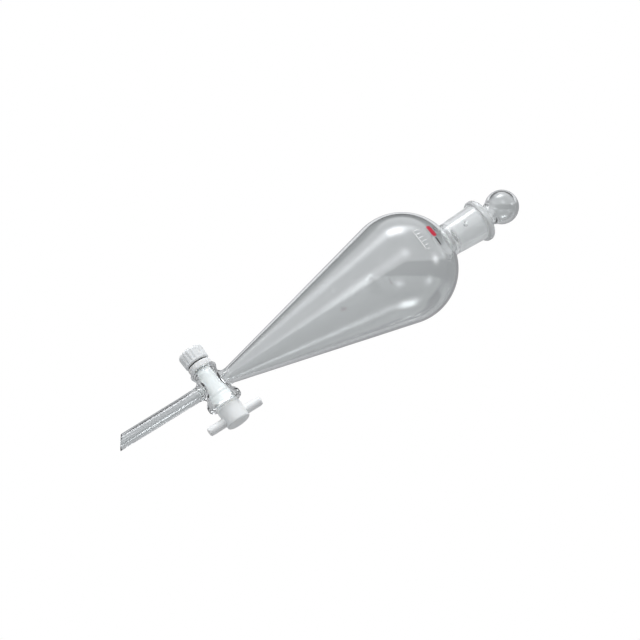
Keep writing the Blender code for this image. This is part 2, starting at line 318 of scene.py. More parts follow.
def glass_material(name, side, low, high, lift_bands=()):
    """Clear borosilicate with a ground zone on one side of the 1:10 joint, between two heights."""
    mat, nt, bsdf = nodes_of(name)
    obj, x, y, z = object_xyz(nt)
    r = math_node(nt, "SQRT", math_node(nt, "ADD", math_node(nt, "MULTIPLY", x, x), math_node(nt, "MULTIPLY", y, y)))
    # distance from the joint's cone, positive outwards
    slope = 1.3 / 26.3
    surface = math_node(nt, "ADD", math_node(nt, "MULTIPLY", z, slope),
                        (8.1 + (ORIGIN_H - 266.2) * slope) * MM)
    off = math_node(nt, "SUBTRACT", r, surface)
    if side == "inside":
        near = map_range(nt, off, 0.25 * MM, 0.45 * MM, 1.0, 0.0)
    else:
        near = map_range(nt, off, -0.55 * MM, -0.35 * MM, 0.0, 1.0)
    fray = math_node(nt, "MULTIPLY", math_node(nt, "SUBTRACT", noise(nt, obj, 900.0, 2.0), 0.5), 0.0006)
    zz = math_node(nt, "ADD", z, fray)
    above = map_range(nt, zz, (low - ORIGIN_H - 0.15) * MM, (low - ORIGIN_H + 0.15) * MM, 0.0, 1.0)
    below = map_range(nt, zz, (high - ORIGIN_H - 0.15) * MM, (high - ORIGIN_H + 0.15) * MM, 1.0, 0.0)
    frost_and_lift = math_node(nt, "MULTIPLY", math_node(nt, "MULTIPLY", above, below), near)
    # painted lightening: the rim and the blown seal of the neck and the waist of the stopper get a whitish scattering
    # share, which lifts the dark refraction there
    for h0, h1, h2, h3, amount in lift_bands:
        zone = math_node(nt, "MULTIPLY", map_range(nt, z, (h0 - ORIGIN_H) * MM, (h1 - ORIGIN_H) * MM, 0.0, amount),
                         map_range(nt, z, (h2 - ORIGIN_H) * MM, (h3 - ORIGIN_H) * MM, 1.0, 0.0))
        frost_and_lift = math_node(nt, "MAXIMUM", frost_and_lift, zone)
    grain = noise(nt, obj, 5200.0, 4.0, 0.7)
    clear_rough = map_range(nt, noise(nt, obj, 60.0, 3.0), 0.3, 0.75, 0.004, 0.022)
    ground_rough = map_range(nt, grain, 0.3, 0.7, 0.36, 0.50)
    mixr = nt.nodes.new("ShaderNodeMix")
    mixr.data_type = "FLOAT"
    nt.links.new(frost_and_lift, mixr.inputs["Factor"])
    nt.links.new(clear_rough, mixr.inputs["A"])
    nt.links.new(ground_rough, mixr.inputs["B"])
    nt.links.new(mixr.outputs["Result"], bsdf.inputs["Roughness"])
    # frosted colour of the joint, and painted lightening in the lift bands
    tint = mix_colour(nt, frost_and_lift, GLASS_TINT, FROST_AND_LIFT_TINT)
    if side == "inside":
        # painted shade: the drain tube's glass gets a darker tint than the bulb's, so the stem reads darker
        stem_shade_zone = map_range(nt, z, (LOW_CUT - ORIGIN_H - 1.0) * MM, (LOW_CUT - ORIGIN_H + 6.0) * MM, 1.0, 0.0)
        stem_shaded_tint = mix_colour(nt, stem_shade_zone, GLASS_TINT, STEM_SHADE_TINT)
        nt.links.new(tint, stem_shaded_tint.node.inputs["A"])
        tint = stem_shaded_tint
    nt.links.new(tint, bsdf.inputs["Base Color"])
    # the slow waviness of drawn glass, and the grain of the ground zone
    wave = noise(nt, obj, 45.0, 2.0, 0.4)
    if side == "inside":
        on_stem = map_range(nt, z, (LOW_CUT - ORIGIN_H - 1.0) * MM, (LOW_CUT - ORIGIN_H + 6.0) * MM, 1.0, 0.0)
        wave = math_node(nt, "MULTIPLY", wave, math_node(nt, "SUBTRACT", 1.0, on_stem))
    n1 = bump(nt, wave, 0.10, 0.0006)
    n2 = bump(nt, math_node(nt, "MULTIPLY", grain, frost_and_lift), 0.35, 0.00008, n1)
    nt.links.new(n2, bsdf.inputs["Normal"])
    nt.links.new(map_range(nt, frost_and_lift, 0.0, 1.0, 1.0, FROST_AND_LIFT_CLEAR, smooth=False), bsdf.inputs["Transmission Weight"])
    bsdf.inputs["IOR"].default_value = 1.473
    return mat


def turned_plastic(name, colour, low, high, axis, marks, sss=0.0, grain_scale=700.0):
    """White plastic with faint lathe or mould marks round an axis."""
    mat, nt, bsdf = nodes_of(name)
    obj, x, y, z = object_xyz(nt)
    tone = noise(nt, obj, 140.0, 4.0, 0.6)
    fine = noise(nt, obj, grain_scale, 3.0, 0.6)
    dark = tuple(c * 0.955 for c in colour)
    nt.links.new(mix_colour(nt, map_range(nt, tone, 0.35, 0.7, 0.0, 1.0), dark, colour), bsdf.inputs["Base Color"])
    nt.links.new(map_range(nt, fine, 0.3, 0.7, low, high), bsdf.inputs["Roughness"])
    along = {"X": x, "Z": z}[axis]
    line = math_node(nt, "SINE", math_node(nt, "ADD", math_node(nt, "MULTIPLY", along, TAU / (marks * MM)),
                                           math_node(nt, "MULTIPLY", tone, 4.0)))
    n1 = bump(nt, line, 0.20, 0.00003)
    n2 = bump(nt, fine, 0.25, 0.00004, n1)
    nt.links.new(n2, bsdf.inputs["Normal"])
    bsdf.inputs["IOR"].default_value = 1.42
    if sss:
        bsdf.inputs["Subsurface Weight"].default_value = sss
        bsdf.inputs["Subsurface Radius"].default_value = (0.0016, 0.0015, 0.0014)
        bsdf.inputs["Subsurface Scale"].default_value = 1.0
    return mat


def rubber_material(name):
    mat, nt, bsdf = nodes_of(name)
    obj, x, y, z = object_xyz(nt)
    bloom = noise(nt, obj, 420.0, 4.0, 0.6)
    nt.links.new(mix_colour(nt, bloom, (0.010, 0.010, 0.011), (0.030, 0.030, 0.032)), bsdf.inputs["Base Color"])
    nt.links.new(map_range(nt, bloom, 0.3, 0.7, 0.38, 0.58), bsdf.inputs["Roughness"])
    nt.links.new(bump(nt, noise(nt, obj, 2600.0, 3.0), 0.3, 0.00003), bsdf.inputs["Normal"])
    return mat


def enamel_material(name, colour, worn):
    mat, nt, bsdf = nodes_of(name)
    obj, x, y, z = object_xyz(nt)
    speck = noise(nt, obj, 1500.0, 4.0, 0.65)
    nt.links.new(mix_colour(nt, map_range(nt, speck, 0.4, 0.75, 0.0, 1.0), colour, worn), bsdf.inputs["Base Color"])
    nt.links.new(map_range(nt, speck, 0.3, 0.7, 0.30, 0.46), bsdf.inputs["Roughness"])
    nt.links.new(bump(nt, speck, 0.3, 0.00003), bsdf.inputs["Normal"])
    return mat


GLASS_TINT = (0.955, 0.972, 0.968)
# whitish tint of the frosted joint, also the colour of the painted lightening bands
FROST_AND_LIFT_TINT = (0.85, 0.86, 0.855)
# painted shade for the drain stem: a darker glass tint
STEM_SHADE_TINT = (0.902, 0.922, 0.921)
# transmission share of the frosted joint, also used by the painted lightening bands
FROST_AND_LIFT_CLEAR = 0.45

# the two bands after the joint heights are painted lightening on clear glass: the rim and the base of the neck
funnel_mat = glass_material("borosilicate_body", "inside", 266.3, 291.6,
                            ((286.6, 288.2, 295.0, 296.0, 0.55), (257.5, 261.0, 265.4, 267.0, 0.22)))
# the band after the joint heights is painted lightening on the clear waist of the stopper
stopper_mat = glass_material("borosilicate_stopper", "outside", 268.0, 291.3,
                             ((291.5, 293.5, 299.5, 302.0, 0.28),))
ptfe_mat = turned_plastic("turned_ptfe", (0.895, 0.915, 0.905), 0.30, 0.42, "X", 0.35, sss=0.25)
washer_mat = turned_plastic("washer_ptfe", (0.90, 0.91, 0.90), 0.34, 0.46, "X", 0.25, sss=0.2, grain_scale=900.0)
bar_mat = turned_plastic("handle_plastic", (0.90, 0.915, 0.905), 0.34, 0.46, "Z", 0.6, sss=0.15)
nut_mat = turned_plastic("nut_plastic", (0.88, 0.90, 0.895), 0.36, 0.50, "X", 0.8, sss=0.15)
rubber_mat = rubber_material("nitrile_ring")
white_enamel = enamel_material("white_enamel", (0.93, 0.94, 0.93), (0.82, 0.84, 0.83))
dark_enamel = enamel_material("dark_enamel", (0.05, 0.045, 0.045), (0.10, 0.09, 0.09))
red_enamel = enamel_material("red_enamel", (0.62, 0.012, 0.045), (0.45, 0.02, 0.05))


# ---- the blown junction of the stopcock barrel with its two side arms --------------------
def smin(a, b, k):
    h = np.clip(0.5 + 0.5 * (b - a) / k, 0, 1)
    return b * (1 - h) + a * h - k * h * (1 - h)


def smax(a, b, k):
    return -smin(-a, -b, k)


barrel_table = smooth_table(
    [(9.3, -14), (9.3, -11.4), (9.05, -10.2), (8.3, -8.9), (7.75, -7.4), (8.3, 0.0), (8.95, 6.6), (9.7, 8.1),
     (11.1, 9.5), (11.8, 11.0), (11.8, 16.0)], -14, 16, 0.45)
arm_table = smooth_table(
    [(4.7, 55), (4.7, 61.6), (4.85, 63.0), (5.2, 65.0), (5.9, 67.0), (6.3, 70.0), (6.3, 79.0), (6.0, 81.5),
     (5.6, 83.6), (5.45, 85.4), (cone_radius(87.3), 87.3), (cone_radius(98.0), 98.0)], 55, 98, 0.5)
way_table = smooth_table(
    [(3.05, 50), (3.05, 63.9), (2.1, 66.4), (2.1, 81.4), (2.45, 83.0), (3.35, 85.4), (inner_cone(87.4), 87.4),
     (inner_cone(98.0), 98.0)], 50, 98, 0.35)


def slope_of(table, t):
    return (table(t + 0.1) - table(t - 0.1)) / 0.2


def barrel_field(p):
    """Signed distance, roughly, to the glass of the barrel and its arms."""
    x, y, z = p[..., 0], p[..., 1], p[..., 2] - BARREL_H
    rho, r, h = np.sqrt(y * y + z * z), np.sqrt(x * x + y * y), p[..., 2]
    body = (rho - barrel_table(x)) / np.sqrt(1 + slope_of(barrel_table, x) ** 2)
    body = smax(body, x - 14.8, 1.5)
    body = smax(body, -12.6 - x, 1.3)
    arms = (r - arm_table(h)) / np.sqrt(1 + slope_of(arm_table, h) ** 2)
    outer = smin(body, arms, 2.6)
    # beyond the blown junction the tube and the cone keep their own radius
    pure = np.clip((np.abs(h - BARREL_H) - 11.6) / 1.4, 0, 1)
    pure = pure * pure * (3 - 2 * pure)
    outer = outer * (1 - pure) + arms * pure
    bore = (rho - bore_radius(x)) / math.sqrt(1 + 1 / 196)
    way = (r - way_table(h)) / np.sqrt(1 + slope_of(way_table, h) ** 2)
    return smax(outer, -smin(bore, way, 0.45), 0.40)


def gradient(field, p, e=0.01):
    g = np.zeros_like(p)
    for k in range(3):
        d = np.zeros(3)
        d[k] = e
        g[:, k] = (field(p + d) - field(p - d)) / (2 * e)
    return g


def surface_net(field, lo, hi, cell):
    """Quads on the zero surface of a field, one vertex per crossed cell, moved onto the surface."""
    lo, hi = np.array(lo, float), np.array(hi, float)
    n = np.ceil((hi - lo) / cell).astype(int) + 1
    axes = [lo[k] + cell * np.arange(n[k]) for k in range(3)]
    grid = np.stack(np.meshgrid(*axes, indexing="ij"), -1)
    f = field(grid)
    neg = f < 0
    c = n - 1
    inside = np.zeros(c, int)
    total, weight = np.zeros((*c, 3)), np.zeros(c)
    corners = [(i, j, k) for i in (0, 1) for j in (0, 1) for k in (0, 1)]
    for i, j, k in corners:
        inside += neg[i:i + c[0], j:j + c[1], k:k + c[2]]
    for a in range(3):
        for u in (0, 1):
            for w in (0, 1):
                s = [0, 0, 0]
                o = [k for k in range(3) if k != a]
                s[o[0]], s[o[1]] = u, w
                e = list(s)
                e[a] = 1
                fa = f[s[0]:s[0] + c[0], s[1]:s[1] + c[1], s[2]:s[2] + c[2]]
                fb = f[e[0]:e[0] + c[0], e[1]:e[1] + c[1], e[2]:e[2] + c[2]]
                cross = (fa < 0) != (fb < 0)
                t = np.where(cross, fa / np.where(cross, fa - fb, 1.0), 0.0)
                for k in range(3):
                    total[..., k] += np.where(cross, s[k] + (t if k == a else 0.0), 0.0)
                weight += cross
    active = (inside > 0) & (inside < 8)
    index = -np.ones(c, int)
    index[active] = np.arange(active.sum())
    where = np.argwhere(active)
    verts = lo + cell * (where + total[active] / weight[active][:, None])
    for _ in range(6):
        g = gradient(field, verts)
        step = field(verts) / np.maximum((g * g).sum(1), 1e-6)
        move = g * step[:, None]
        size = np.linalg.norm(move, axis=1, keepdims=True)
        verts = verts - move * np.minimum(1.0, 0.6 * cell / np.maximum(size, 1e-9))
    faces = []
    for a in range(3):
        o = [k for k in range(3) if k != a]
        fa = np.moveaxis(f, a, 0)
        cross = (fa[:-1] < 0) != (fa[1:] < 0)
        cross = np.moveaxis(cross, 0, a)
        at = np.argwhere(cross)
        ok = (at[:, o[0]] > 0) & (at[:, o[1]] > 0) & (at[:, o[0]] < n[o[0]] - 1) & (at[:, o[1]] < n[o[1]] - 1)
        at = at[ok]
        quad = []
        for du, dv in ((0, 0), (-1, 0), (-1, -1), (0, -1)):
            q = at.copy()
            q[:, o[0]] += du
            q[:, o[1]] += dv
            quad.append(index[q[:, 0], q[:, 1], q[:, 2]])
        faces.append(np.stack(quad, 1))
    faces = np.concatenate(faces)
    return verts, faces[(faces >= 0).all(1)]


def junction():
    """The barrel's mesh, cut square at LOW_CUT and HIGH_CUT, and its boundary loops there."""
    verts, faces = surface_net(barrel_field, (-13.6, -13.0, LOW_CUT - 1.2), (15.8, 13.0, HIGH_CUT + 1.2), 0.36)
    bm = bmesh.new()
    vs = [bm.verts.new(v) for v in verts]
    for q in faces:
        try:
            bm.faces.new([vs[i] for i in q])
        except ValueError:
            pass
    for h, sign in ((LOW_CUT, -1), (HIGH_CUT, 1)):
        bmesh.ops.bisect_plane(bm, geom=bm.verts[:] + bm.edges[:] + bm.faces[:], dist=0.02,
                               plane_co=(0, 0, h), plane_no=(0, 0, sign), clear_outer=True)
    bmesh.ops.delete(bm, geom=[v for v in bm.verts if not v.link_faces], context="VERTS")
    bm.verts.index_update()
    loops = {}
    limits = {("low", "out"): arm_table(LOW_CUT), ("low", "in"): way_table(LOW_CUT),
              ("high", "out"): arm_table(HIGH_CUT), ("high", "in"): way_table(HIGH_CUT)}
    for v in bm.verts:
        if not any(e.is_boundary for e in v.link_edges):
            continue
        end = "low" if v.co.z < BARREL_H else "high"
        rad = math.hypot(v.co.x, v.co.y)
        side = "out" if rad > (limits[(end, "out")] + limits[(end, "in")]) / 2 else "in"
        want = float(limits[(end, side)])
        v.co.x *= want / rad
        v.co.y *= want / rad
        v.co.z = LOW_CUT if end == "low" else HIGH_CUT
        loops.setdefault((end, side), []).append(v.index)
    bm.verts.index_update()
    co = np.array([v.co[:] for v in bm.verts])
    quads = [tuple(v.index for v in f.verts) for f in bm.faces]
    bm.free()
    for key in loops:
        idx = np.array(loops[key])
        loops[key] = idx[np.argsort(np.arctan2(co[idx, 1], co[idx, 0]))]
    return co, quads, loops


def zip_loops(ids_a, ang_a, ids_b, ang_b):
    """Triangles between two loops round the same axis, each sorted by angle."""
    na, nb = len(ids_a), len(ids_b)
    a = np.concatenate([ang_a, [ang_a[0] + TAU]])
    b = np.concatenate([ang_b, [ang_b[0] + TAU]])
    i = j = 0
    out = []
    while i < na or j < nb:
        if j >= nb or (i < na and a[i + 1] - a[0] <= b[j + 1] - b[0] + (b[0] - a[0]) * 0):
            out.append((ids_a[i % na], ids_a[(i + 1) % na], ids_b[j % nb]))
            i += 1
        else:
            out.append((ids_a[i % na], ids_b[(j + 1) % nb], ids_b[j % nb]))
            j += 1
    return out


def funnel_glass():
    co, quads, loops = junction()
    verts, faces = [co], list(quads)
    count = len(co)

    def add(rings, closed=False):
        nonlocal count
        v, f = tube(rings, closed)
        faces.extend(tuple(i + count for i in q) for q in f)
        verts.append(v)
        start = count
        count += len(v)
        return start

    # the drain stem, from its junction down round the bevelled tip and back up the bore
    n = 96
    stem_out = lambda h: STEM_R + 0.2 * np.clip((h - 50.0) / 11.0, 0, 1) ** 1.5
    # drawing lines run along the tube, and fade out at the tip and where the barrel was sealed on
    fade = lambda h: float(np.clip((h - 13.2) / 5.0, 0, 1) * np.clip((60.0 - h) / 8.0, 0, 1))
    lines_out = lambda a: 0.012 * np.sin(4 * a + 1.1) + 0.008 * np.sin(9 * a + 0.3)
    lines_in = lambda a: 0.06 * np.sin(3 * a + 0.7) + 0.04 * np.sin(7 * a + 2.1) + 0.02 * np.sin(11 * a + 0.4)
    tip = lambda r: (lambda a: TIP_LOW + TIP_SLOPE * (STEM_R - r * np.cos(a)))
    rows = []
    for h in np.concatenate([[LOW_CUT - 0.25], np.arange(60.0, 13.9, -1.6), [13.2]]):
        rows.append(ring(lambda a, h=h: float(stem_out(h)) + fade(h) * lines_out(a), h, n))
    for f in (0.2, 0.45, 0.7, 0.88, 0.95):
        rows.append(ring(STEM_R, lambda a, f=f: 13.2 * (1 - f) + (tip(STEM_R)(a) + 0.30) * f, n))
    lip = [(4.5, 0.30), (4.477, 0.17), (4.41, 0.07), (4.31, 0.015), (4.2, 0.0), (4.0, 0.0), (3.7, 0.0), (3.45, 0.0),
           (3.33, 0.0), (3.2, 0.02), (3.11, 0.08), (3.06, 0.17), (3.05, 0.28)]
    for r, d in lip:
        rows.append(ring(r, lambda a, r=r, d=d: tip(r)(a) + d, n))
    for f in (0.95, 0.85, 0.65, 0.4, 0.2):
        rows.append(ring(BORE_R, lambda a, f=f: 13.2 * (1 - f) + (tip(BORE_R)(a) + 0.28) * f, n))
    for h in np.concatenate([[13.2], np.arange(14.0, 60.4, 1.6), [LOW_CUT - 0.25]]):
        rows.append(ring(lambda a, h=h: BORE_R + fade(h) * lines_in(a), h, n))
    s = add(rows)
    ids = {("low", "out"): s + np.arange(n), ("low", "in"): s + (len(rows) - 1) * n + np.arange(n)}

    # cone, sphere, shoulder, neck, flange, socket and back down inside
    m = 160
    beta = math.degrees(math.atan(CONE_TAN))
    prof = [(cone_radius(h), h) for h in
            np.concatenate([[HIGH_CUT + 0.25, 89.0, 90.0], np.arange(92.0, 214.0, 3.0)])]
    prof += [(BULB_R * math.cos(math.radians(a)), BULB_H + BULB_R * math.sin(math.radians(a)))
             for a in np.arange(-beta, 68.0, 2.0)]
    # shoulder: a concave fillet, with the faint ripples that the glassblower's seal leaves
    a0 = math.radians(68.0)
    s0 = np.array([BULB_R * math.cos(a0), BULB_H + BULB_R * math.sin(a0)])
    d0 = np.array([-math.sin(a0), math.cos(a0)])
    s1, d1 = np.array([11.42, 262.6]), np.array([0.05, 1.0])
    for t in np.linspace(0.12, 1.0, 48):
        p = ((2 * t**3 - 3 * t**2 + 1) * s0 + (t**3 - 2 * t**2 + t) * d0 * 4.6
             + (-2 * t**3 + 3 * t**2) * s1 + (t**3 - t**2) * d1 * 2.6)
        fade = math.sin(math.pi * t) ** 0.7
        prof.append((p[0] + 0.24 * fade * math.sin(TAU * (p[1] - 256.0) / 1.35), p[1]))
    neck = [(11.42, 262.6), (11.5, 264.4), (12.70, 287.1), (13.4, 287.95), (14.35, 288.35), (15.0, 289.3),
            (15.0, 291.2), (14.3, 292.5), (9.95, 292.5), (socket_radius(291.6), 291.6)]
    neck = rounded(neck, 1.0, {1: 6.0, 2: 2.0, 3: 1.2, 4: 1.0, 5: 1.0, 6: 1.1, 7: 0.9, 8: 0.5}, seg=6)
    prof += [tuple(p) for p in densify(neck, 1.1)[1:]]
    inner = [(socket_radius(291.6), 291.6), (8.1, 266.2), (8.55, 265.1), (9.55, 262.4), (9.55, 261.0)]
    inner = rounded(inner, 0.6, {3: 2.5}, seg=5)
    prof += [tuple(p) for p in densify(inner, 1.1)[1:-1]]
    ri = BULB_R - WALL
    b0 = math.radians(71.5)
    e0 = np.array([ri * math.cos(b0), BULB_H + ri * math.sin(b0)])
    g0 = np.array([math.sin(b0), -math.cos(b0)])
    s0, d0 = np.array(inner[-1]), np.array([0.0, -1.0])
    for t in np.linspace(0.0, 0.92, 12):
        p = ((2 * t**3 - 3 * t**2 + 1) * s0 + (t**3 - 2 * t**2 + t) * d0 * 3.0
             + (-2 * t**3 + 3 * t**2) * e0 + (t**3 - t**2) * g0 * 3.6)
        prof.append(tuple(p))
    prof += [(ri * math.cos(math.radians(a)), BULB_H + ri * math.sin(math.radians(a)))
             for a in np.append(np.arange(71.5, -beta, -2.0), -beta)]
    prof += [(inner_cone(h), h) for h in
             np.concatenate([np.arange(213.0, 92.0, -3.0), [90.0, 89.0, HIGH_CUT + 0.25]])]
    s = add([ring(float(r), float(h), m) for r, h in prof])
    ids[("high", "out")] = s + np.arange(m)
    ids[("high", "in")] = s + (len(prof) - 1) * m + np.arange(m)

    co = np.concatenate(verts)
    for key, own in ids.items():
        loop = loops[key]
        ang = lambda i: np.arctan2(co[i, 1], co[i, 0])
        # both loops start at the smallest angle in (-pi, pi]
        own = own[np.argsort(ang(own))]
        aa, ab = ang(loop), ang(own)
        faces.extend(zip_loops(list(loop), aa, list(own), ab))
    vent = drill("vent_cut", (0.0, -11.0, 276.0), (0, 1, 0), 1.3, 9.0, 40)
    return make("funnel_glass", co, faces, funnel_mat, cuts=[vent])


# ---- the hollow ball stopper --------------------------------------------------------------
def stopper_glass():
    n = 128
    g, low = 0.06, 267.3
    start = math.degrees(math.asin(-7.9 / 11.8))
    outer = [(6.5, low), (7.9, low), (socket_radius(268.4) - g, 268.4), (socket_radius(291.9) - g, 291.9),
             (9.35, 293.1), (8.95, 294.3), (7.9, 295.8), (7.5, 297.4), (7.5, 298.9), (8.1, 300.6)]
    outer = rounded(outer, 0.8, {1: 0.4, 2: 0.8, 3: 0.6, 6: 2.0, 7: 2.5, 8: 2.5}, seg=5)[:-1]
    outer = densify(outer, 1.1)
    ball = [(11.8 * math.cos(math.radians(a)), 309.9 + 11.8 * math.sin(math.radians(a)))
            for a in np.linspace(start - 1.5, 89.0, 44)]
    # a short concave sweep from the waist into the ball
    s0, s1 = np.array(outer[-1]), np.array(ball[2])
    d0 = np.array([0.10, 1.0])
    d1 = np.array(ball[3]) - np.array(ball[2])
    d1 = d1 / np.linalg.norm(d1)
    sweep = []
    for t in np.linspace(0, 1, 9)[1:-1]:
        sweep.append(tuple((2 * t**3 - 3 * t**2 + 1) * s0 + (t**3 - 2 * t**2 + t) * d0 * 2.2
                           + (-2 * t**3 + 3 * t**2) * s1 + (t**3 - t**2) * d1 * 2.2))
    prof = [tuple(p) for p in outer] + sweep + ball[2:] + [(0.0, 321.7)]
    ri = 10.0
    b0 = math.degrees(math.asin(-8.3 / ri))
    inball = [(ri * math.cos(math.radians(a)), 309.9 + ri * math.sin(math.radians(a)))
              for a in np.linspace(89.0, b0, 38)]
    inside = [inball[-1], (5.75, 299.2), (5.75, 297.2), (6.5, 294.3), (7.7, 291.4), (socket_radius(268.6) - 1.65, 268.6),
              (6.5, low)]
    inside = rounded(inside, 1.5, {5: 0.5}, seg=5)
    inside = densify(inside, 1.1)
    prof += [(0.0, 309.9 + ri)] + inball + [tuple(p) for p in inside[1:-1]]
    rings = [np.array([[0.0, 0.0, h]]) if r < 1e-6 else ring(float(r), float(h), n) for r, h in prof]
    # poles split the ring list, so the crown is closed outside and inside separately
    pole = [i for i, (r, h) in enumerate(prof) if r < 1e-6]
    v1, f1 = tube(rings[:pole[0] + 1])
    v2, f2 = tube(rings[pole[1]:])
    faces = f1 + [tuple(i + len(v1) for i in q) for q in f2]
    last = len(v1) + len(v2) - n
    faces += [(k, (k + 1) % n, last + (k + 1) % n, last + k) for k in range(n)]
    groove = drill("groove_cut", (socket_radius(270.0) + 0.15, 0, 271.25), (0, 0, 1), 1.0, 11.9, 32)
    return make("stopper_glass", np.concatenate([v1, v2]), faces, stopper_mat, cuts=[groove])


# ---- PTFE and plastic pieces --------------------------------------------------------------
def thread(x, a, root=3.4, crest=4.0):
    phase = (a / TAU - x / 1.5) % 1.0
    tri = 1.0 - np.abs(2.0 * phase - 1.0)
    tri = np.clip((tri - 0.15) / 0.7, 0.0, 1.0)
    tri = tri * tri * (3 - 2 * tri)
    return root + (crest - root) * tri


def d_flat(r, a, flat):
    c = np.cos(a - math.pi / 2)
    return np.where(c > 0.2, np.minimum(r, flat / np.maximum(c, 0.2)), r)


def plug_piece():
    n = 128
    r = lambda x: bore_radius(x) - 0.08
    head = rounded([(0, 29.6), (8.1, 29.6), (8.1, 17.35), (7.35, 16.95), (7.35, 16.55), (8.0, 16.25), (8.0, 15.1),
                    (r(15.0) + 0.02, 15.1), (r(14.4), 14.4), (r(-12.2), -12.2), (3.98, -12.2), (3.98, -15.9)], 0.3,
                   {1: 1.2, 2: 0.5, 3: 0.15, 4: 0.15, 5: 0.35, 6: 0.35, 7: 0.15, 9: 0.7, 10: 0.15}, seg=6)
    head = densify(head, 0.75)
    rows = [np.array([[29.6, 0, 0]])]
    for rad, x in head[1:]:
        if x <= -12.2 + 1e-6 and rad < 4.2:
            rows.append(ring(lambda a, rad=rad: d_flat(np.full_like(a, rad), a, 3.3), x, n, "X"))
        else:
            rows.append(ring(float(rad), float(x), n, "X"))
    for x in np.arange(-16.1, -26.7, -0.125):
        fade = min(1.0, (-16.0 - x) / 0.5)
        end = min(1.0, (x + 27.1) / 0.6)
        rows.append(ring(lambda a, x=x, fade=fade, end=end: d_flat(
            np.minimum(3.98 * (1 - fade) + thread(x, a) * fade, 3.5 + 0.5 * end), a, 3.3), x, n, "X"))
    for rad, x in ((3.45, -26.75), (3.38, -26.9), (3.22, -27.03), (3.0, -27.1), (1.5, -27.1)):
        rows.append(ring(lambda a, rad=rad: d_flat(np.full_like(a, rad), a, 3.3), x, n, "X"))
    rows.append(np.array([[-27.1, 0, 0]]))
    v, f = tube(rows)
    flow = drill("flow_cut", (0, 0, BARREL_H), (0, 0, 1), 1.5, 22.0, 40)
    hole = drill("bar_cut", (BAR_X, 0, BARREL_H), (0, 0, 1), 3.1, 22.0, 48)
    return make("plug_ptfe", v, f, ptfe_mat, origin=(0, 0, BARREL_H), cuts=[flow, hole], sharp=50)


def bar_piece():
    n = 72
    prof = rounded([(0, 19.5), (2.85, 19.5), (3.05, 17.5), (3.05, -17.5), (2.85, -19.5), (0, -19.5)], 0.9,
                   {1: 1.5, 4: 1.5, 2: 4.0, 3: 4.0}, seg=9)
    prof = densify(prof, 0.8)
    rows = [np.array([[0, 0, 19.5]])] + [ring(float(r), float(h), n) for r, h in prof[1:-1]] + [np.array([[0, 0, -19.5]])]
    v, f = tube(rows)
    return make("handle_tbar", v, f, bar_mat, origin=(BAR_X, 0, BARREL_H))


def washer_piece():
    n = 120
    prof = rounded([(4.3, -16.6), (8.0, -16.6), (8.0, -12.75), (4.3, -12.75)], 0.35, {0: 0.2, 3: 0.2}, seg=4, closed=True)
    prof = densify(prof, 0.7, closed=True)
    rows = []
    for r, x in prof:
        if r < 4.75:
            rows.append(ring(lambda a, r=r: d_flat(np.full_like(a, float(r)), a, 3.6 + float(r) - 4.3), float(x), n, "X"))
        else:
            rows.append(ring(float(r), float(x), n, "X"))
    v, f = tube(rows, closed=True)
    return make("washer_ring", v, f, washer_mat, origin=(0, 0, BARREL_H), sharp=60)


def o_ring_piece():
    n = 120
    rows = []
    for k in range(28):
        a = TAU * k / 28
        # a mould line stands a hair proud round the middle
        minor = 0.93 + 0.02 * math.exp(-((math.cos(a) - 1) * 9) ** 2)
        rows.append(ring(5.3 + minor * math.cos(a), -17.6 + minor * math.sin(a), n, "X"))
    v, f = tube(rows, closed=True)
    return make("rubber_o_ring", v, f, rubber_mat, origin=(0, 0, BARREL_H))


def nut_piece():
    n = 18 * 14
    x0, x1 = -27.5, -17.7
    outer = rounded([(4.4, -18.75), (6.45, -18.75), (6.45, x1), (8.25, x1), (8.8, x0), (4.7, x0)], 0.8,
                    {0: 0.0, 1: 0.3, 2: 0.25, 3: 1.2, 4: 2.0}, seg=8)
    outer = densify(outer, 0.5)
    rows = []
    for r, x in outer:
        # the flutes run out before both ends, and stay off the end faces
        body = np.clip((r - 7.2) / 0.8, 0, 1) * np.clip((x1 - 0.9 - x) / 0.9, 0, 1)
        body = body * body * (3 - 2 * body)
        rows.append(ring(lambda a, r=r, b=body: r - 0.32 * b * (0.5 - 0.5 * np.cos(18 * a)) ** 1.0, float(x), n, "X"))
    xs = np.arange(x0 + 0.12, -18.85, 0.12)
    rows.append(ring(4.45, x0 + 0.02, n, "X"))
    for x in xs:
        edge = min(1.0, (x - x0) / 0.5, (-18.75 - x) / 0.5)
        rows.append(ring(lambda a, x=x, e=edge: np.maximum(thread(x, a) + 0.22, 4.45 - 0.85 * e), x, n, "X"))
    v, f = tube(rows, closed=True)
    return make("nut_knurled", v, f, nut_mat, origin=(0, 0, BARREL_H), sharp=62)


# ---- fired enamel marks on the shoulder ------------------------------------------------------
def patch(outline, radius, thick):
    """A thin slab that follows the sphere; outline is (longitude, latitude) in degrees, star-shaped about its middle."""
    pts = np.array(outline, float)
    mid = pts.mean(0)
    rows = []

    def at(q, rad):
        lon, lat = np.radians(q[:, 0]), np.radians(q[:, 1])
        return np.stack([rad * np.cos(lat) * np.cos(lon), rad * np.cos(lat) * np.sin(lon),
                         BULB_H + rad * np.sin(lat)], 1)
    rows.append(at(mid[None], radius + thick))
    for k in (0.35, 0.7, 0.93):
        rows.append(at(mid + (pts - mid) * k, radius + thick))
    rows.append(at(pts, radius + thick * 0.5))
    for k in (0.97, 0.7, 0.35):
        rows.append(at(mid + (pts - mid) * k, radius - 0.02))
    rows.append(at(mid[None], radius - 0.02))
    return tube(rows)


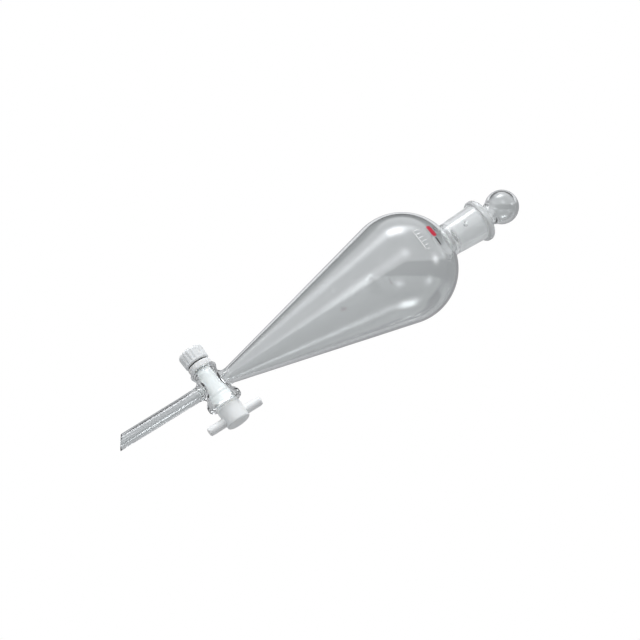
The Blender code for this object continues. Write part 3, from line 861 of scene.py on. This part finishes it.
def rounded_bar(lon, lat, w, h, turn=0.0, n=40, power=4.0):
    """A rounded bar outline: w and h in millimetres on the sphere, centred on lon, lat."""
    a = np.arange(n) * TAU / n
    c, s = np.cos(a), np.sin(a)
    x = np.sign(c) * np.abs(c) ** (2 / power) * w / 2
    y = np.sign(s) * np.abs(s) ** (2 / power) * h / 2
    t = math.radians(turn)
    x, y = x * math.cos(t) - y * math.sin(t), x * math.sin(t) + y * math.cos(t)
    k = math.degrees(1 / BULB_R)
    return np.stack([lon + x * k / math.cos(math.radians(lat)), lat + y * k], 1)


def marks(name, bars, mat):
    verts, faces, count = [], [], 0
    for b in bars:
        v, f = patch(b, BULB_R + 0.012, 0.055)
        faces += [tuple(i + count for i in q) for q in f]
        verts.append(v)
        count += len(v)
    return make(name, np.concatenate(verts), faces, mat)


glass = funnel_glass()
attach(glass, "funnel")
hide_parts("stem", "stopcock_barrel", "bulb", "neck_socket")

top = stopper_glass()
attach(top, "stopper")
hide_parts("stopper")

plug = plug_piece()
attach(plug, "plug")
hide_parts("stopcock_plug")

bar = bar_piece()
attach(bar, "plug")
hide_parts("handle_bar")

washer = washer_piece()
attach(washer, "washers")
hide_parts("plug_washer")

seal = o_ring_piece()
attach(seal, "washers")
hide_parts("o_ring")

nut = nut_piece()
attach(nut, "nut")
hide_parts("tension_nut")

white = [rounded_bar(-88.5, 10.9, 15.5, 0.6, power=5)]
for k, tall in enumerate((4.6, 3.0, 3.0, 4.6, 3.0, 3.0)):
    white.append(rounded_bar(-100.0 + 4.7 * k, 14.0 + (tall - 3.0) * 0.75, 0.6, tall, power=5))
fill_mark = marks("enamel_fill_mark", white, white_enamel)
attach(fill_mark, "funnel")
red = marks("enamel_batch_mark", [rounded_bar(-93.0, 31.4, 8.6, 4.2, power=5)], red_enamel)
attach(red, "funnel")
dash = marks("enamel_batch_dash", [rounded_bar(-78.6, 30.8, 5.6, 1.5, power=5)], dark_enamel)
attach(dash, "funnel")


# ---- stage: floor, light, surroundings and camera ---------------------------------------------
TABLE_GREY, BACKDROP_LOW, BACKDROP_HIGH, RIM_LIGHT, WALL_GREY = 0.48, 0.345, 0.46, 0.85, 0.10
PANEL_BACK, PANEL_FRONT, PANEL_FALL, FRONT_LOW = 1.1, 1.35, 0.4, 0.45
DIFFUSE_SHARE, THROUGH_SHARE, THROUGH_FILL, CARD = 0.44, 0.62, 0.88, 0.27
BACK_FILL = 0.75
view_az, view_el, view_roll = math.radians(16.67), math.radians(-17.18), math.radians(58.25)
DISTANCE, FOCAL_PX = 898.4, 1383.2
back = Vector((math.sin(view_az) * math.cos(view_el), -math.cos(view_az) * math.cos(view_el), math.sin(view_el)))
right = Vector((math.cos(view_az), math.sin(view_az), 0.0))
above = back.cross(right)
side2 = right * math.cos(view_roll) + above * math.sin(view_roll)
up2 = above * math.cos(view_roll) - right * math.sin(view_roll)

floor_mesh = bpy.data.meshes.new("floor")
bm = bmesh.new()
bmesh.ops.create_circle(bm, cap_ends=True, segments=96, radius=9.0)
bm.to_mesh(floor_mesh)
bm.free()
floor = bpy.data.objects.new("floor", floor_mesh)
bpy.context.scene.collection.objects.link(floor)
floor.location = (0, 0, -0.36)
mat, nt, bsdf = nodes_of("pale_floor")
obj, x, y, z = object_xyz(nt)
nt.links.new(mix_colour(nt, noise(nt, obj, 3.0, 3.0), (0.88, 0.882, 0.885), (0.90, 0.902, 0.904)), bsdf.inputs["Base Color"])
bsdf.inputs["Roughness"].default_value = 0.7
bsdf.inputs["Emission Color"].default_value = (1, 1, 1, 1)
# the floor fades to the white of the backdrop, so no horizon shows
away = math_node(nt, "SQRT", math_node(nt, "ADD", math_node(nt, "MULTIPLY", x, x), math_node(nt, "MULTIPLY", y, y)))
nt.links.new(map_range(nt, away, 0.3, 3.0, 0.36, 1.0), bsdf.inputs["Emission Strength"])
floor_mesh.materials.append(mat)
floor.visible_glossy = False
floor.visible_transmission = False
floor.visible_diffuse = False


def area_light(name, direction, distance, size_x, size_y, power, roll=0.0, colour=(1, 1, 1), look=(0, 0, 0)):
    data = bpy.data.lights.new(name, "AREA")
    data.shape, data.size, data.size_y, data.energy, data.color = "RECTANGLE", size_x, size_y, power, colour
    ob = bpy.data.objects.new(name, data)
    bpy.context.scene.collection.objects.link(ob)
    d = Vector(direction).normalized()
    ob.location = Vector(look) + d * distance
    ob.rotation_mode = "QUATERNION"
    z = d
    x_ax = up2.cross(z)
    if x_ax.length < 0.1:
        x_ax = side2.cross(z)
    x_ax.normalize()
    y_ax = z.cross(x_ax)
    m = Matrix((x_ax, y_ax, z)).transposed() @ Matrix.Rotation(math.radians(roll), 3, "Z")
    ob.rotation_quaternion = m.to_quaternion()
    ob.visible_camera = False
    return ob


def towards(az, el):
    a, e = math.radians(az), math.radians(el)
    return Vector((math.sin(a) * math.cos(e), -math.cos(a) * math.cos(e), math.sin(e)))


area_light("key", up2 * 0.90 + back * 0.35 - side2 * 0.25, 1.3, 0.60, 0.45, 1.6, look=(0, 0, -0.04)).visible_glossy = False
for ob in bpy.data.objects:
    if ob.type == "LIGHT":
        ob.visible_transmission = False

world = bpy.data.worlds.new("studio")
bpy.context.scene.world = world
world.use_nodes = True
nt = world.node_tree
for n in list(nt.nodes):
    nt.nodes.remove(n)
out = nt.nodes.new("ShaderNodeOutputWorld")
path = nt.nodes.new("ShaderNodeLightPath")
coord = nt.nodes.new("ShaderNodeTexCoord")


def along(vector):
    n = nt.nodes.new("ShaderNodeVectorMath")
    n.operation = "DOT_PRODUCT"
    nt.links.new(coord.outputs["Generated"], n.inputs[0])
    n.inputs[1].default_value = vector
    return n.outputs["Value"]


def blob(vector, soft, strength):
    """A round soft lamp seen in one direction; soft is its half-width in degrees."""
    k = 1.0 / (1.0 - math.cos(math.radians(soft)))
    off = math_node(nt, "MULTIPLY", math_node(nt, "SUBTRACT", along(tuple(Vector(vector).normalized())), 1.0), k)
    return math_node(nt, "MULTIPLY", math_node(nt, "POWER", 2.718281828, off), strength)


def total(*terms):
    t = terms[0]
    for q in terms[1:]:
        t = math_node(nt, "ADD", t, q)
    return t


# the studio: a grey backdrop behind, a bright ceiling panel above, a pale table below,
# and four soft lamps; U is towards the panel, B towards the viewer, S across
U, B, S = along(tuple(up2)), along(tuple(back)), along(tuple(side2))
slant = math_node(nt, "SUBTRACT", math_node(nt, "MULTIPLY", S, 0.53), math_node(nt, "MULTIPLY", U, 0.85))
backdrop = map_range(nt, slant, -0.06, 0.06, BACKDROP_HIGH, BACKDROP_LOW)
backdrop = total(backdrop, map_range(nt, U, -0.60, -0.15, TABLE_GREY - BACKDROP_LOW, 0.0),
                 map_range(nt, U, 0.20, 0.32, 0.0, RIM_LIGHT - BACKDROP_HIGH),
                 map_range(nt, U, 0.46, 0.52, 0.0, WALL_GREY - RIM_LIGHT))
panel = map_range(nt, U, 0.74, 0.82, 0.0, PANEL_BACK)
behind = map_range(nt, B, -0.24, -0.12, 1.0, 0.0)
front = total(map_range(nt, U, 0.20, 0.27, 0.0, PANEL_FRONT), map_range(nt, U, 0.30, 0.80, 0.0, -PANEL_FALL, smooth=False),
              FRONT_LOW)
in_front = math_node(nt, "SUBTRACT", 1.0, behind)


def square(q):
    return math_node(nt, "MULTIPLY", q, q)


def bar_lamp(b0, bw, s0, sw, strength):
    """A soft strip on the ceiling: a Gaussian in B and in S."""
    off = math_node(nt, "ADD", square(math_node(nt, "MULTIPLY", math_node(nt, "SUBTRACT", B, b0), 1.0 / bw)),
                    square(math_node(nt, "MULTIPLY", math_node(nt, "SUBTRACT", S, s0), 1.0 / sw)))
    g = math_node(nt, "POWER", 2.718281828, math_node(nt, "MULTIPLY", off, -1.0))
    return math_node(nt, "MULTIPLY", math_node(nt, "MULTIPLY", g, map_range(nt, U, 0.3, 0.6, 0.0, 1.0)), strength)


level = total(math_node(nt, "MULTIPLY", math_node(nt, "ADD", backdrop, panel), behind),
              math_node(nt, "MULTIPLY", total(front, bar_lamp(0.13, 0.15, -0.20, 0.22, 13.0),
                                              bar_lamp(-0.02, 0.12, 0.05, 0.30, 2.6)), in_front),
              blob(up2 * 0.50 + back * 0.86 + side2 * 0.05, 9.5, 3.3),
              blob(up2 * 0.26 + back * 0.31 + side2 * 0.915, 6.8, 5.2),
              blob(up2 * 0.35 + back * 0.35 - side2 * 0.87, 8.0, 3.6))
# open surfaces take a share of the surroundings; what lies inside the glass takes a little more
open_ray = path.outputs["Is Diffuse Ray"]
bounced = math_node(nt, "MINIMUM", path.outputs["Diffuse Depth"], 1.0)
through = math_node(nt, "MULTIPLY", bounced, math_node(nt, "SUBTRACT", 1.0, open_ray))
# what is seen straight through the walls is the same calm backdrop from every side
mean = (BACKDROP_LOW + BACKDROP_HIGH) / 2
calm = total(map_range(nt, slant, -0.06, 0.06, BACKDROP_HIGH, BACKDROP_LOW),
             map_range(nt, slant, 0.12, 0.50, 0.0, mean - BACKDROP_LOW),
             map_range(nt, slant, -0.50, -0.12, mean - BACKDROP_HIGH, 0.0),
             map_range(nt, U, -0.60, -0.15, TABLE_GREY - BACKDROP_LOW, 0.0))
mirrored = math_node(nt, "MINIMUM", path.outputs["Glossy Depth"], 1.0)
straight = math_node(nt, "MULTIPLY", math_node(nt, "MINIMUM", path.outputs["Transmission Depth"], 1.0),
                     math_node(nt, "MULTIPLY", math_node(nt, "SUBTRACT", 1.0, mirrored), math_node(nt, "SUBTRACT", 1.0, bounced)))
level = math_node(nt, "ADD", math_node(nt, "MULTIPLY", level, math_node(nt, "SUBTRACT", 1.0, straight)),
                  math_node(nt, "MULTIPLY", calm, straight))
# and less of the ceiling, so that white edges that face up keep their shape
overhead = map_range(nt, U, 0.20, 0.80, DIFFUSE_SHARE, DIFFUSE_SHARE * 0.66)
soft = total(1.0, math_node(nt, "MULTIPLY", open_ray, math_node(nt, "SUBTRACT", overhead, 1.0)),
             math_node(nt, "MULTIPLY", through, THROUGH_SHARE - 1.0))
studio = nt.nodes.new("ShaderNodeBackground")
studio.inputs["Color"].default_value = (0.99, 1.0, 1.03, 1.0)
# a white card low on the left and one behind: they reach open surfaces only
low_left = math_node(nt, "MULTIPLY", math_node(nt, "ADD", U, S), 0.6)
card = total(math_node(nt, "MULTIPLY", open_ray, map_range(nt, low_left, 0.3, -0.6, 0.0, CARD)),
             math_node(nt, "MULTIPLY", open_ray, map_range(nt, B, -0.80, -0.15, BACK_FILL, 0.0)),
             math_node(nt, "MULTIPLY", through, THROUGH_FILL))
nt.links.new(math_node(nt, "ADD", math_node(nt, "MULTIPLY", level, soft), card), studio.inputs["Strength"])
clean = nt.nodes.new("ShaderNodeBackground")
clean.inputs["Color"].default_value = (1, 1, 1, 1)
clean.inputs["Strength"].default_value = 1.0
mix = nt.nodes.new("ShaderNodeMixShader")
nt.links.new(path.outputs["Is Camera Ray"], mix.inputs["Fac"])
nt.links.new(studio.outputs[0], mix.inputs[1])
nt.links.new(clean.outputs[0], mix.inputs[2])
nt.links.new(mix.outputs[0], out.inputs["Surface"])

cam_data = bpy.data.cameras.new("camera")
cam_data.sensor_width = 36.0
cam_data.lens = FOCAL_PX / 640.0 * 36.0
cam_data.clip_start, cam_data.clip_end = 0.05, 20.0
camera = bpy.data.objects.new("camera", cam_data)
bpy.context.scene.collection.objects.link(camera)
target = Vector((0.365 * math.cos(view_az), 0.365 * math.sin(view_az), 157.2 - ORIGIN_H)) * MM
place_at = target + back * (DISTANCE * MM)
camera.matrix_world = Matrix(((side2.x, up2.x, back.x, place_at.x), (side2.y, up2.y, back.y, place_at.y),
                              (side2.z, up2.z, back.z, place_at.z), (0, 0, 0, 1)))
scene = bpy.context.scene
scene.camera = camera
scene.view_settings.view_transform = "Standard"
scene.view_settings.look = "None"
